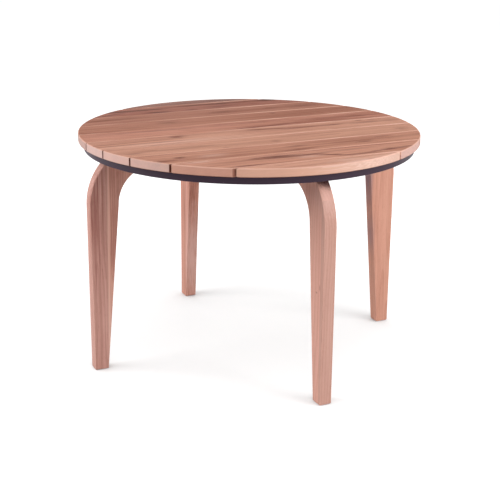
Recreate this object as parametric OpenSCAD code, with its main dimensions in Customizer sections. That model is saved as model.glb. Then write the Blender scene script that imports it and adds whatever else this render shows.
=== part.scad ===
// Round slatted dining table on four knee-shaped legs, with a steel frame under the top.
// Millimetres, +Z up. The origin is on the floor below the middle of the top.
// +X runs along the slats, and the four legs stand on the X and Y axes.

/* [Top] */
// Diameter of the round top
top_diameter = 1100; // [1000:10:1200]
// Height of the top above the floor
table_height = 745; // [690:5:780]
// Thickness of the slats
slat_thickness = 27; // [24:0.5:34]
// Width of the first and last slat at their middle, where the rim cuts them
end_slat_width = 70; // [62:0.5:78]
// Gap between neighbouring slats
slat_gap = 5; // [3:0.5:6]
// Radius of the rounded slat edges
slat_round = 3; // [1:0.5:5]

/* [Hoop] */
// Distance from the rim of the top in to the hoop
hoop_setback = 17; // [10:1:24]
// Height of the hoop's flat bar
hoop_height = 24; // [20:1:32]
// Thickness of the hoop's flat bar
hoop_thickness = 6; // [4:0.5:8]

/* [Rails, battens and lugs] */
// Width of the crossing rails
rail_width = 40; // [36:1:50]
// Wall thickness of the rails
rail_wall = 2; // [1.5:0.5:3]
// Distance of the battens from the middle, as a share of the hoop's inner radius
batten_share = 0.45; // [0.4:0.01:0.46]
// Width of a batten
batten_width = 30; // [24:1:36]
// Thickness of the battens and of the lugs
plate_thickness = 5; // [3:0.5:6]
// Width of a lug along the hoop
lug_width = 30; // [24:1:34]
// Reach of a lug in from the hoop
lug_reach = 25; // [22:1:30]
// Distance of a lug's hole in from the hoop
lug_hole_inset = 13; // [11:0.5:15]
// Angle between the cross rail and the lugs of the end slats
end_lug_angle = 11; // [9:0.5:13]

/* [Slat screws] */
// Shank diameter of a slat screw
screw_diameter = 5; // [4:0.5:6]
// Depth that a slat screw reaches into its slat
screw_bite = 18; // [12:1:20]
// Diameter of the screw head
screw_head_diameter = 9.5; // [8:0.5:11]
// Height of the screw head
screw_head_height = 3; // [2:0.5:4]
// Distance between the two screws of a slat on one batten
screw_spread = 60; // [40:5:64]

/* [Legs] */
// Thickness of a leg, across its curved face
leg_thickness = 40; // [34:1:40]
// Depth of the foot, out from the middle of the table
foot_depth = 44; // [40:1:60]
// Depth of the leg at the start of its knee
knee_depth = 93; // [85:1:105]
// Radius of the outer curve of the knee
knee_outer_radius = 195; // [180:5:215]
// Radius of the inner curve of the knee
knee_inner_radius = 115; // [95:5:125]
// Depth of the arm under the rail
arm_depth = 34; // [30:1:40]
// Length of the straight part of the arm, in from the knee
arm_length = 162; // [155:1:175]
// Radius of the lower corner at the end of an arm
arm_nose_radius = 14; // [8:1:20]

/* [Leg bolts] */
// Shank diameter of a leg bolt
bolt_diameter = 8; // [6:1:10]
// Shank length of a leg bolt
bolt_length = 50; // [45:1:52]
// Distance from the end of the arm to the first bolt
bolt_inset = 25; // [20:1:32]
// Distance between the bolts of one leg
bolt_spacing = 60; // [40:5:62]
// Width of the bolt head and of the nut across their flats
hex_width = 13; // [12:0.5:16]
// Height of the bolt head
bolt_head_height = 5.3; // [4:0.1:7]
// Height of the nut welded inside the rail
nut_height = 6.5; // [5:0.5:8]
// Diameter of the washer
washer_diameter = 16; // [15:0.5:20]
// Thickness of the washer
washer_thickness = 1.6; // [1:0.2:2.4]

/* [Glides] */
// Diameter of the glide under each foot
glide_diameter = 30; // [24:1:34]
// Thickness of the glide
glide_thickness = 2; // [1:0.5:4]
// Diameter of the glide's pin
glide_pin_diameter = 5; // [4:0.5:6]
// Length of the glide's pin
glide_pin_length = 12; // [8:1:16]

/* [Fits] */
// Radial clearance of bolts and screws in drilled steel and wood
hole_clearance = 0.5; // [0.3:0.1:0.8]
// Radial clearance of a thread or pin in its pilot hole
pilot_clearance = 0.15; // [0.1:0.05:0.3]
// Gap left for the weld where a bar meets the hoop
weld_gap = 0.2; // [0.1:0.1:0.4]

/* [Hidden] */

// Boards in the top, one for each slat node
slat_count = 10;
top_radius = top_diameter / 2;
// Width of a full slat, which follows from the width that the two end slats leave
slat_width = (top_diameter - 2 * end_slat_width - (slat_count - 1) * slat_gap) / (slat_count - 2);
slat_pitch = slat_width + slat_gap;
slat_bottom = table_height - slat_thickness;

hoop_outer = top_radius - hoop_setback;
hoop_inner = hoop_outer - hoop_thickness;
frame_bottom = slat_bottom - hoop_height;
weld_radius = hoop_inner - weld_gap;
plate_bottom = slat_bottom - plate_thickness;
batten_offset = batten_share * hoop_inner;
lug_hole_radius = hoop_inner - lug_hole_inset;

knee_height = frame_bottom - arm_depth - knee_inner_radius;
knee_outer_centre = top_radius - knee_outer_radius;
knee_inner_centre = top_radius - knee_depth - knee_inner_radius;
arm_end = knee_inner_centre - arm_length;
foot_centre = top_radius - foot_depth / 2;
bolts_per_leg = 3;
leg_angles = [0, 90, 180, 270];
arm_bottom = frame_bottom - arm_depth;

// Distance that a cutting shape runs past a face
past = 1;
smooth = 96;

wood = [0.72, 0.49, 0.38];
steel_paint = [0.24, 0.21, 0.23];
zinc = [0.75, 0.76, 0.78];
nylon = [0.12, 0.12, 0.12];

function slat_middle(number) = (number - (slat_count + 1) / 2) * slat_pitch;
function is_end_slat(number) = number == 1 || number == slat_count;

// Angle of a slat's lug on the hoop, with side 1 towards +X and -1 towards -X
function lug_angle_right(number) =
    is_end_slat(number)
        ? sign(slat_middle(number)) * (90 - end_lug_angle)
        : asin(slat_middle(number) / lug_hole_radius);
function lug_angle(number, side) =
    side > 0 ? lug_angle_right(number) : 180 - lug_angle_right(number);

// Places of the screws that hold one slat, seen from above
function lug_screws(number) =
    [for (side = [-1, 1]) lug_hole_radius
        * [cos(lug_angle(number, side)), sin(lug_angle(number, side))]];
function batten_screws(number) =
    is_end_slat(number)
        ? []
        : [for (side = [-1, 1], end = [-1, 1])
            [side * batten_offset, slat_middle(number) + end * screw_spread / 2]];
function slat_screw_places(number) = concat(lug_screws(number), batten_screws(number));

// Distances of a leg's bolts from the middle of the table
bolt_radii = [for (i = [0 : bolts_per_leg - 1]) arm_end + bolt_inset + i * bolt_spacing];

// Round cutter up along +Z, which runs a little past both ends of the given depth
module drill(shank_diameter, clearance, depth) {
    translate([0, 0, -past])
        cylinder(d = shank_diameter + 2 * clearance, h = depth + 2 * past, $fn = smooth);
}

// Rectangle with rounded corners, its lower left corner at the origin
module rounded_rectangle(width, height, radius) {
    union() {
        translate([radius, 0]) square([width - 2 * radius, height]);
        translate([0, radius]) square([width, height - 2 * radius]);
        for (x = [radius, width - radius], y = [radius, height - radius])
            translate([x, y]) circle(r = radius, $fn = smooth);
    }
}

// Round disc with a rounded rim, as thick as a slat
module top_disc() {
    rotate_extrude($fn = 360)
        union() {
            square([top_radius - slat_round, slat_thickness]);
            translate([0, slat_round]) square([top_radius, slat_thickness - 2 * slat_round]);
            for (z = [slat_round, slat_thickness - slat_round])
                translate([top_radius - slat_round, z]) circle(r = slat_round, $fn = smooth);
        }
}

// One board of the top, cut round at its ends and drilled from below for its screws
module slat(number) {
    color(wood)
        difference() {
            translate([0, 0, slat_bottom])
                intersection() {
                    translate([-top_radius - past, slat_middle(number) - slat_width / 2, 0])
                        rotate([90, 0, 90])
                            linear_extrude(2 * (top_radius + past))
                                rounded_rectangle(slat_width, slat_thickness, slat_round);
                    top_disc();
                }
            for (place = slat_screw_places(number))
                translate([place.x, place.y, slat_bottom])
                    drill(screw_diameter, pilot_clearance, screw_bite);
        }
}

// Flat bar rolled on edge into a hoop, which carries the ends of the slats
module hoop() {
    color(steel_paint)
        translate([0, 0, frame_bottom])
            rotate_extrude($fn = 360)
                translate([hoop_inner, 0]) square([hoop_thickness, hoop_height]);
}

// Round solid that ends the bars where they are welded to the hoop
module inside_hoop(bottom, height) {
    translate([0, 0, bottom]) cylinder(r = weld_radius, h = height, $fn = 360);
}

// Rectangular tube from one distance to another along +X, with holes for the leg bolts
module rail(from, to, bolt_places) {
    difference() {
        intersection() {
            translate([from, -rail_width / 2, frame_bottom])
                difference() {
                    cube([to - from, rail_width, hoop_height]);
                    translate([-past, rail_wall, rail_wall])
                        cube([to - from + 2 * past, rail_width - 2 * rail_wall, hoop_height - 2 * rail_wall]);
                }
            inside_hoop(frame_bottom, hoop_height);
        }
        for (x = bolt_places)
            translate([x, 0, frame_bottom]) drill(bolt_diameter, hole_clearance, rail_wall);
    }
}

// Long rail below the middle gap of the top, over the left and right legs
module rail_long() {
    color(steel_paint)
        rail(-hoop_outer, hoop_outer, concat(bolt_radii, -bolt_radii));
}

// Half rail from the long rail out to the hoop, over the front or the back leg
module rail_cross(angle) {
    color(steel_paint)
        rotate([0, 0, angle]) rail(rail_width / 2, hoop_outer, bolt_radii);
}

// Flat batten across the slats, from the long rail out to the hoop
module batten(side, end) {
    color(steel_paint)
        difference() {
            intersection() {
                translate([
                    side * batten_offset - batten_width / 2,
                    end > 0 ? rail_width / 2 : -hoop_outer,
                    plate_bottom
                ])
                    cube([batten_width, hoop_outer - rail_width / 2, plate_thickness]);
                inside_hoop(plate_bottom, plate_thickness);
            }
            for (number = [2 : slat_count - 1], place = batten_screws(number))
                if (sign(place.x) == side && sign(place.y) == end)
                    translate([place.x, place.y, plate_bottom])
                        drill(screw_diameter, hole_clearance, plate_thickness);
        }
}

// Small flat lugs inside the hoop, two for each slat
module slat_lugs() {
    color(steel_paint)
        for (number = [1 : slat_count], side = [-1, 1])
            rotate([0, 0, lug_angle(number, side)])
                difference() {
                    intersection() {
                        translate([hoop_inner - lug_reach, -lug_width / 2, plate_bottom])
                            cube([lug_reach, lug_width, plate_thickness]);
                        inside_hoop(plate_bottom, plate_thickness);
                    }
                    translate([lug_hole_radius, 0, plate_bottom])
                        drill(screw_diameter, hole_clearance, plate_thickness);
                }
}

// Pan head screws from below, through the lugs and battens into the slats
module slat_screws() {
    color(zinc)
        for (number = [1 : slat_count], place = slat_screw_places(number))
            translate([place.x, place.y, plate_bottom])
                union() {
                    cylinder(d = screw_diameter, h = plate_thickness + screw_bite, $fn = smooth);
                    translate([0, 0, -screw_head_height])
                        cylinder(d = screw_head_diameter, h = screw_head_height, $fn = smooth);
                }
}

// Outline of a leg: distance from the middle of the table against height
module leg_outline() {
    difference() {
        translate([arm_end, glide_thickness])
            square([top_radius - arm_end, frame_bottom - glide_thickness]);
        // Round outer curve of the knee
        difference() {
            translate([knee_outer_centre, knee_height])
                square([knee_outer_radius + past, knee_outer_radius + past]);
            translate([knee_outer_centre, knee_height]) circle(r = knee_outer_radius, $fn = 360);
        }
        // Round inner curve of the knee, and the space below the arm
        translate([knee_inner_centre, knee_height]) circle(r = knee_inner_radius, $fn = 360);
        translate([0, glide_thickness - past])
            square([knee_inner_centre, arm_bottom - glide_thickness + past]);
        // Tapered inner side of the leg below the knee
        polygon([
            [0, -past],
            [top_radius - foot_depth, -past],
            [top_radius - foot_depth, 0],
            [top_radius - knee_depth, knee_height],
            [0, knee_height]
        ]);
        // Rounded lower corner at the end of the arm
        difference() {
            translate([arm_end - past, arm_bottom - past])
                square([arm_nose_radius + past, arm_nose_radius + past]);
            translate([arm_end + arm_nose_radius, arm_bottom + arm_nose_radius])
                circle(r = arm_nose_radius, $fn = smooth);
        }
    }
}

// Solid wooden leg whose arm lies under a rail
module leg(angle) {
    color(wood)
        rotate([0, 0, angle])
            difference() {
                translate([0, leg_thickness / 2, 0])
                    rotate([90, 0, 0])
                        linear_extrude(leg_thickness) leg_outline();
                for (x = bolt_radii)
                    translate([x, 0, arm_bottom]) drill(bolt_diameter, hole_clearance, arm_depth);
                translate([foot_centre, 0, glide_thickness])
                    drill(glide_pin_diameter, pilot_clearance, glide_pin_length);
            }
}

// Places its children at every leg bolt, at the height of the arm's lower face
module at_leg_bolts() {
    for (angle = leg_angles, x = bolt_radii)
        rotate([0, 0, angle]) translate([x, 0, arm_bottom]) children();
}

// Hexagon head bolts up through the arms into the rails
module leg_bolts() {
    color(zinc)
        at_leg_bolts()
            translate([0, 0, -washer_thickness])
                union() {
                    cylinder(d = bolt_diameter, h = bolt_length, $fn = smooth);
                    translate([0, 0, -bolt_head_height])
                        cylinder(d = hex_width / cos(30), h = bolt_head_height, $fn = 6);
                }
}

// Washers between the bolt heads and the arms
module leg_washers() {
    color(zinc)
        at_leg_bolts()
            translate([0, 0, -washer_thickness])
                difference() {
                    cylinder(d = washer_diameter, h = washer_thickness, $fn = smooth);
                    drill(bolt_diameter, pilot_clearance, washer_thickness);
                }
}

// Nuts welded on the floor of the rails
module leg_nuts() {
    color(zinc)
        at_leg_bolts()
            translate([0, 0, arm_depth + rail_wall])
                difference() {
                    cylinder(d = hex_width / cos(30), h = nut_height, $fn = 6);
                    drill(bolt_diameter, pilot_clearance, nut_height);
                }
}

// Nylon glide with a pin that is pressed into the foot
module glide(angle) {
    color(nylon)
        rotate([0, 0, angle])
            translate([foot_centre, 0, 0])
                union() {
                    cylinder(d = glide_diameter, h = glide_thickness, $fn = smooth);
                    cylinder(d = glide_pin_diameter, h = glide_thickness + glide_pin_length, $fn = smooth);
                }
}

slat(1);  // slat_01
slat(2);  // slat_02
slat(3);  // slat_03
slat(4);  // slat_04
slat(5);  // slat_05
slat(6);  // slat_06
slat(7);  // slat_07
slat(8);  // slat_08
slat(9);  // slat_09
slat(10);  // slat_10
hoop();
rail_long();
rail_cross(-90);  // rail_cross_front
rail_cross(90);  // rail_cross_back
batten(-1, -1);  // batten_left_front
batten(-1, 1);  // batten_left_back
batten(1, -1);  // batten_right_front
batten(1, 1);  // batten_right_back
slat_lugs();
slat_screws();
leg(0);  // leg_right
leg(90);  // leg_back
leg(180);  // leg_left
leg(270);  // leg_front
leg_bolts();
leg_washers();
leg_nuts();
glide(0);  // glide_right
glide(90);  // glide_back
glide(180);  // glide_left
glide(270);  // glide_front
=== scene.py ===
"""Looks of a round slatted dining table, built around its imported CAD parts, in metres."""

from math import asin, atan2, copysign, cos, pi, radians, sin, sqrt

import bmesh
import bpy
from mathutils import Matrix, Vector


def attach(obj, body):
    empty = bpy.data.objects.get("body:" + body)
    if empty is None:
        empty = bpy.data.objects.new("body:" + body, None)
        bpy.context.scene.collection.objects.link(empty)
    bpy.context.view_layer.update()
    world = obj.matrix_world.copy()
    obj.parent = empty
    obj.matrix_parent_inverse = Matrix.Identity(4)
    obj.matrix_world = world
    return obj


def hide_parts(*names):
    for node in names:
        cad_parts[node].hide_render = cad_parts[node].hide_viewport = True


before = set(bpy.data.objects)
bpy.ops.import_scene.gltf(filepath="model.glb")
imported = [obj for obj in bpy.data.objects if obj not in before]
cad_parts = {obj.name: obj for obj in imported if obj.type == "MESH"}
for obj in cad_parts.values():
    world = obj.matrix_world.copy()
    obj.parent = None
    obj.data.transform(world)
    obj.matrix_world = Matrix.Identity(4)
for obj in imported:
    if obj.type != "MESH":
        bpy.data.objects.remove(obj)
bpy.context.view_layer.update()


# The hoop: a flat steel bar 24 mm high and 6 mm thick, rolled on edge into a ring,
# butt welded and ground smooth. It carries the slats and is powder coated anthracite.

MM = 0.001
HOOP_OUTER = 533 * MM
HOOP_THICKNESS = 6 * MM
FRAME_BOTTOM = 694 * MM
SLAT_BOTTOM = 718 * MM
HOOP_ARRIS = 0.9 * MM
HOOP_STEPS = 288
HOOP_INNER = HOOP_OUTER - HOOP_THICKNESS


def linear(red, green, blue):
    """The scene colour of a red, green and blue read off a screen, each from 0 to 255."""
    parts = [part / 255 for part in (red, green, blue)]
    return [((p + 0.055) / 1.055) ** 2.4 if p > 0.04045 else p / 12.92 for p in parts] + [1.0]


def add(tree, kind, inputs=None, **settings):
    """Adds a node, makes its settings, and sets or links its inputs."""
    node = tree.nodes.new(kind)
    for name, value in settings.items():
        setattr(node, name, value)
    for name, value in (inputs or {}).items():
        if isinstance(value, bpy.types.NodeSocket):
            tree.links.new(value, node.inputs[name])
        else:
            node.inputs[name].default_value = value
    return node


def maths(tree, operation, first, second=0.0, third=0.0, clamp=False):
    """The result of a Math node on numbers or sockets."""
    values = {0: first, 1: second, 2: third}
    return add(tree, "ShaderNodeMath", values, operation=operation, use_clamp=clamp).outputs[0]


def mixed(tree, share, first, second):
    """The colour that a Mix node makes of two colours, which are its inputs 6 and 7."""
    inputs = {0: share, 6: first, 7: second}
    return add(tree, "ShaderNodeMix", inputs, data_type="RGBA").outputs[2]


def spread(tree, value, low, high, out_low, out_high, easing="LINEAR"):
    """A value moved from one range to another."""
    inputs = {0: value, 1: low, 2: high, 3: out_low, 4: out_high}
    return add(tree, "ShaderNodeMapRange", inputs, interpolation_type=easing).outputs[0]


def vectors(tree, operation, first, second=(0, 0, 0), result="Vector"):
    """A result of a Vector Math node: its Vector, or the Value of a length or dot product."""
    values = {0: first, 1: second}
    return add(tree, "ShaderNodeVectorMath", values, operation=operation).outputs[result]


def noise(tree, place, scale, detail, roughness=0.5):
    """Random soft patches, with their scale in patches to the metre."""
    inputs = {"Vector": place, "Scale": scale, "Detail": detail, "Roughness": roughness}
    return add(tree, "ShaderNodeTexNoise", inputs).outputs[0]


def new_group(name, inputs, outputs):
    """An empty shader node group, its input node and its output node."""
    tree = bpy.data.node_groups.new(name, "ShaderNodeTree")
    for label, (kind, default) in inputs.items():
        socket = tree.interface.new_socket(label, in_out="INPUT", socket_type="NodeSocket" + kind)
        if default is not None:
            socket.default_value = default
    for label, kind in outputs.items():
        tree.interface.new_socket(label, in_out="OUTPUT", socket_type="NodeSocket" + kind)
    return tree, tree.nodes.new("NodeGroupInput").outputs, tree.nodes.new("NodeGroupOutput").inputs


def place_group(tree, group, inputs):
    """Puts a node group into a material and returns its outputs."""
    return add(tree, "ShaderNodeGroup", inputs, node_tree=group).outputs


def new_material(name):
    """A material with only a Principled BSDF, its node tree and that shader."""
    material = bpy.data.materials.new(name)
    material.use_nodes = True
    tree = material.node_tree
    return material, tree, tree.nodes["Principled BSDF"]


def finish_shader(tree, shader, colour, made, bump, bump_depth):
    """Gives a shader its colour, and the roughness and fine relief that a group has made."""
    tree.links.new(colour, shader.inputs["Base Color"])
    tree.links.new(made["Roughness"], shader.inputs["Roughness"])
    inputs = {"Height": made["Height"], "Strength": bump, "Distance": bump_depth}
    tree.links.new(add(tree, "ShaderNodeBump", inputs).outputs[0], shader.inputs["Normal"])


SURFACE = {"Colour": "Color", "Roughness": "Float", "Height": "Float"}


def build_surface_grain():
    """Group: the fine grain of a coated or moulded surface, with pale wear on its arrises."""
    inputs = {
        "Colour": ("Color", (0.1, 0.1, 0.1, 1)),
        "Worn Colour": ("Color", (0.2, 0.2, 0.2, 1)),
        "Wear": ("Float", 0.3),
        "Grains per Metre": ("Float", 900.0),
        "Mottle": ("Float", 0.1),
        "Roughness": ("Float", 0.4),
    }
    tree, given, result = new_group("surface_grain", inputs, SURFACE)
    place = add(tree, "ShaderNodeTexCoord").outputs["Object"]
    grain = noise(tree, place, given["Grains per Metre"], detail=3.0)
    cloud = noise(tree, place, 14.0, detail=4.0)
    arris = add(tree, "ShaderNodeAttribute", attribute_name="arris").outputs["Fac"]
    patch = spread(tree, cloud, 0.35, 0.65, 0.3, 1.0)
    worn_and_lit = maths(tree, "MULTIPLY", maths(tree, "MULTIPLY", arris, patch), given["Wear"])
    fine = maths(tree, "SUBTRACT", grain, 0.5)
    broad = maths(tree, "SUBTRACT", cloud, 0.5)
    shade = maths(tree, "MULTIPLY_ADD", fine, given["Mottle"], 1.0)
    shade = maths(tree, "MULTIPLY_ADD", broad, given["Mottle"], shade)
    toned = vectors(tree, "MULTIPLY", given["Colour"], shade)
    tree.links.new(mixed(tree, worn_and_lit, toned, given["Worn Colour"]), result["Colour"])
    rough = maths(tree, "MULTIPLY_ADD", broad, 0.2, given["Roughness"])
    tree.links.new(rough, result["Roughness"])
    tree.links.new(grain, result["Height"])
    return tree


GRAIN_DEPTH = 0.2 * MM
SURFACE_GRAIN = build_surface_grain()


def grained_material(name, colour, worn_and_lit, wear, grains, mottle, roughness, bump, **shader_values):
    """A material of the surface_grain group, with constant shader values set on the shader."""
    material, tree, shader = new_material(name)
    values = {
        "Colour": colour,
        "Worn Colour": worn_and_lit,
        "Wear": wear,
        "Grains per Metre": grains,
        "Mottle": mottle,
        "Roughness": roughness,
    }
    made = place_group(tree, SURFACE_GRAIN, values)
    finish_shader(tree, shader, made["Colour"], made, bump, GRAIN_DEPTH)
    for label, value in shader_values.items():
        shader.inputs[label.replace("_", " ")].default_value = value
    return material


POWDER_COAT = grained_material(
    "powder_coat_anthracite",
    colour=linear(48, 27, 46),
    worn_and_lit=linear(92, 78, 92),
    wear=0.2,
    grains=1400.0,
    mottle=0.25,
    roughness=0.42,
    bump=0.25,
    Specular_IOR_Level=0.3,
)


def shape_edges(bm, least_angle):
    """The edges of a mesh where two faces meet at more than an angle in degrees."""
    bm.normal_update()
    return [
        edge
        for edge in bm.edges
        if len(edge.link_faces) == 2 and edge.calc_face_angle() > radians(least_angle)
    ]


def round_off(bm, edges, radius, segments):
    """Rounds edges, and marks the new faces as arrises for the materials."""
    layer = bm.faces.layers.float.get("arris") or bm.faces.layers.float.new("arris")
    made = bmesh.ops.bevel(
        bm,
        geom=edges,
        offset=radius,
        offset_type="OFFSET",
        segments=segments,
        profile=0.5,
        affect="EDGES",
        material=-1,
        clamp_overlap=False,
    )
    for face in made["faces"]:
        face[layer] = 1.0


def make_piece(bm, name, material, node, smooth_below=40):
    """Turns a finished mesh into a piece, which stands for a CAD node if one is named."""
    if not bm.faces.layers.float.get("arris"):
        bm.faces.layers.float.new("arris")
    bmesh.ops.recalc_face_normals(bm, faces=bm.faces)
    mesh = bpy.data.meshes.new(name)
    bm.to_mesh(mesh)
    bm.free()
    mesh.shade_smooth()
    mesh.set_sharp_from_angle(angle=radians(smooth_below))
    mesh.materials.append(material)
    piece = bpy.data.objects.new(name, mesh)
    bpy.context.scene.collection.objects.link(piece)
    weighted = piece.modifiers.new("even_shading", "WEIGHTED_NORMAL")
    weighted.keep_sharp = True
    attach(piece, "root")
    if node:
        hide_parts(node)


SAME_POINT = 0.001 * MM


def turned_mesh(profile, steps, closed=False):
    """A shape turned round the Z axis, from points of its radius and height."""
    bm = bmesh.new()
    verts = [bm.verts.new((radius, 0, height)) for radius, height in profile]
    for first, second in zip(verts, verts[1:] + verts[:1] if closed else verts[1:]):
        bm.edges.new((first, second))
    bmesh.ops.spin(
        bm,
        geom=bm.verts[:] + bm.edges[:],
        cent=(0, 0, 0),
        axis=(0, 0, 1),
        angle=2 * pi,
        steps=steps,
        use_merge=True,
    )
    bmesh.ops.remove_doubles(bm, verts=bm.verts, dist=SAME_POINT)
    bmesh.ops.recalc_face_normals(bm, faces=bm.faces)
    return bm


hoop_profile = (
    (HOOP_INNER, FRAME_BOTTOM),
    (HOOP_OUTER, FRAME_BOTTOM),
    (HOOP_OUTER, SLAT_BOTTOM),
    (HOOP_INNER, SLAT_BOTTOM),
)
bm = turned_mesh(hoop_profile, HOOP_STEPS, closed=True)
round_off(bm, shape_edges(bm, least_angle=60), HOOP_ARRIS, segments=3)
make_piece(bm, "rolled_hoop", POWDER_COAT, "hoop")


# The rails: drawn steel tube, 40 x 24 mm with 2 mm walls. The long rail spans the hoop and
# a half rail is welded to each of its sides, square to it. Both are coated with the hoop.

RAIL_WIDTH = 40 * MM
RAIL_WALL = 2 * MM
TUBE_CORNER = 2.5 * MM
WELD_GAP = 0.2 * MM
WELD_RADIUS = HOOP_INNER - WELD_GAP
BAR_END_STEPS = 360
END_FACING = 0.9


def disc_mesh(radius, steps, height):
    """A level disc, still without thickness."""
    bm = bmesh.new()
    bmesh.ops.create_circle(
        bm,
        cap_ends=True,
        segments=steps,
        radius=radius,
        matrix=Matrix.Translation((0, 0, height)),
    )
    return bm


def cut_off(bm, point, way):
    """Cuts a mesh along a plane and drops what lies beyond it."""
    bmesh.ops.bisect_plane(
        bm,
        geom=bm.verts[:] + bm.edges[:] + bm.faces[:],
        plane_co=point,
        plane_no=way,
        clear_outer=True,
    )


def verts_of(parts):
    """The vertices among the parts of a mesh."""
    return [part for part in parts if isinstance(part, bmesh.types.BMVert)]


def thicken(bm, way):
    """Draws a flat mesh out into a solid."""
    drawn = bmesh.ops.extrude_face_region(bm, geom=bm.faces[:])["geom"]
    bmesh.ops.translate(bm, verts=verts_of(drawn), vec=way)
    bmesh.ops.recalc_face_normals(bm, faces=bm.faces)


def turn_round(bm, angle):
    """Turns a whole mesh round the Z axis."""
    bmesh.ops.rotate(bm, verts=bm.verts, cent=(0, 0, 0), matrix=Matrix.Rotation(angle, 3, "Z"))


def bar_mesh(least, most, bottom):
    """A level bar up to the slats, cut off by the inside of the hoop.

    Its plan lies between two corners, where None stands for a side left to the hoop."""
    bm = disc_mesh(WELD_RADIUS, BAR_END_STEPS, bottom)
    for corner, side in ((least, -1), (most, 1)):
        for axis, limit in enumerate(corner):
            if limit is not None:
                point, way = [0, 0, 0], [0, 0, 0]
                point[axis], way[axis] = limit, side
                cut_off(bm, point, way)
    thicken(bm, (0, 0, SLAT_BOTTOM - bottom))
    return bm


def tube_mesh(start, turn):
    """A rail from a distance out to the hoop, hollow and open at its ends."""
    half = RAIL_WIDTH / 2
    bm = bar_mesh((start, -half), (None, half), FRAME_BOTTOM)
    corners = [edge for edge in bm.edges if edge.calc_length() > 2 * RAIL_WIDTH]
    round_off(bm, corners, TUBE_CORNER, segments=4)
    bm.normal_update()
    ends = [face for face in bm.faces if abs(face.normal.x) > END_FACING]
    bmesh.ops.delete(bm, geom=ends, context="FACES")
    bmesh.ops.solidify(bm, geom=bm.faces[:], thickness=RAIL_WALL)
    turn_round(bm, turn)
    return bm


for name, start, turn in (
    ("rail_long", None, 0),
    ("rail_cross_front", RAIL_WIDTH / 2, -pi / 2),
    ("rail_cross_back", RAIL_WIDTH / 2, pi / 2),
):
    make_piece(tube_mesh(start, turn), "tube_" + name, POWDER_COAT, name)


# The battens: flat steel bar, 30 x 5 mm, welded between the long rail and the hoop. The
# slats lie on them and are screwed up through them.

PLATE_BOTTOM = 713 * MM
BATTEN_WIDTH = 30 * MM
BATTEN_OFFSET = 237.15 * MM
PLATE_ARRIS = 0.7 * MM

for side_name, side in (("left", -1), ("right", 1)):
    for end_name, least_y, most_y in (
        ("front", None, -RAIL_WIDTH / 2),
        ("back", RAIL_WIDTH / 2, None),
    ):
        middle, half = side * BATTEN_OFFSET, BATTEN_WIDTH / 2
        bm = bar_mesh((middle - half, least_y), (middle + half, most_y), PLATE_BOTTOM)
        round_off(bm, shape_edges(bm, least_angle=30), PLATE_ARRIS, segments=2)
        node = "batten_%s_%s" % (side_name, end_name)
        make_piece(bm, "bar_" + node, POWDER_COAT, node)


# The lugs: twenty small steel plates welded inside the hoop, two for each slat, each with a
# hole for the screw that holds the end of the slat.

TOP_RADIUS = 550 * MM
SLAT_COUNT = 10
END_SLAT_WIDTH = 70 * MM
SLAT_GAP = 5 * MM
SLAT_WIDTH = (2 * (TOP_RADIUS - END_SLAT_WIDTH) - (SLAT_COUNT - 1) * SLAT_GAP) / (SLAT_COUNT - 2)
SLAT_PITCH = SLAT_WIDTH + SLAT_GAP
SLAT_MIDDLES = [(number - (SLAT_COUNT - 1) / 2) * SLAT_PITCH for number in range(SLAT_COUNT)]
LUG_REACH = 25 * MM
LUG_WIDTH = 30 * MM
LUG_HOLE_INSET = 13 * MM
LUG_HOLE_RADIUS = HOOP_INNER - LUG_HOLE_INSET
END_LUG_ANGLE = radians(79)
LUG_ANGLES = [
    copysign(END_LUG_ANGLE, middle)
    if abs(middle) > LUG_HOLE_RADIUS
    else asin(middle / LUG_HOLE_RADIUS)
    for middle in SLAT_MIDDLES
]
LUG_ANGLES += [pi - angle for angle in LUG_ANGLES]


def repeat(bm, places):
    """Copies a whole mesh to each place, given as a matrix, and takes the first one away."""
    model = bm.verts[:] + bm.edges[:] + bm.faces[:]
    first = bm.verts[:]
    for place in places:
        copied = bmesh.ops.duplicate(bm, geom=model)["geom"]
        bmesh.ops.transform(bm, matrix=place, verts=verts_of(copied))
    bmesh.ops.delete(bm, geom=first, context="VERTS")


bm = bar_mesh((HOOP_INNER - LUG_REACH, -LUG_WIDTH / 2), (None, LUG_WIDTH / 2), PLATE_BOTTOM)
round_off(bm, shape_edges(bm, least_angle=30), PLATE_ARRIS, segments=1)
repeat(bm, [Matrix.Rotation(angle, 4, "Z") for angle in LUG_ANGLES])
make_piece(bm, "welded_lugs", POWDER_COAT, "slat_lugs")


# The welds: short fillet beads that join the rails, battens and lugs to each other and to
# the hoop, coated with the rest of the frame.

BEAD_RADIUS = 1.8 * MM
BEAD_SPAN = 0.8
BEAD_STEPS = 8
# Radius in radii and height in lengths of a bead
BEAD_PROFILE = (
    (0, -0.5),
    (0.7, -0.5),
    (1, -0.35),
    (0.85, -0.12),
    (1, 0.12),
    (0.85, 0.35),
    (0.7, 0.5),
    (0, 0.5),
)


def plate_bead(along, width):
    """The bead where a plate meets the hoop, in a direction from the table's middle."""
    place = along * (WELD_RADIUS - BEAD_RADIUS / 2) + Vector((0, 0, PLATE_BOTTOM))
    return place, (-along.y, along.x, 0), width


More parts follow.
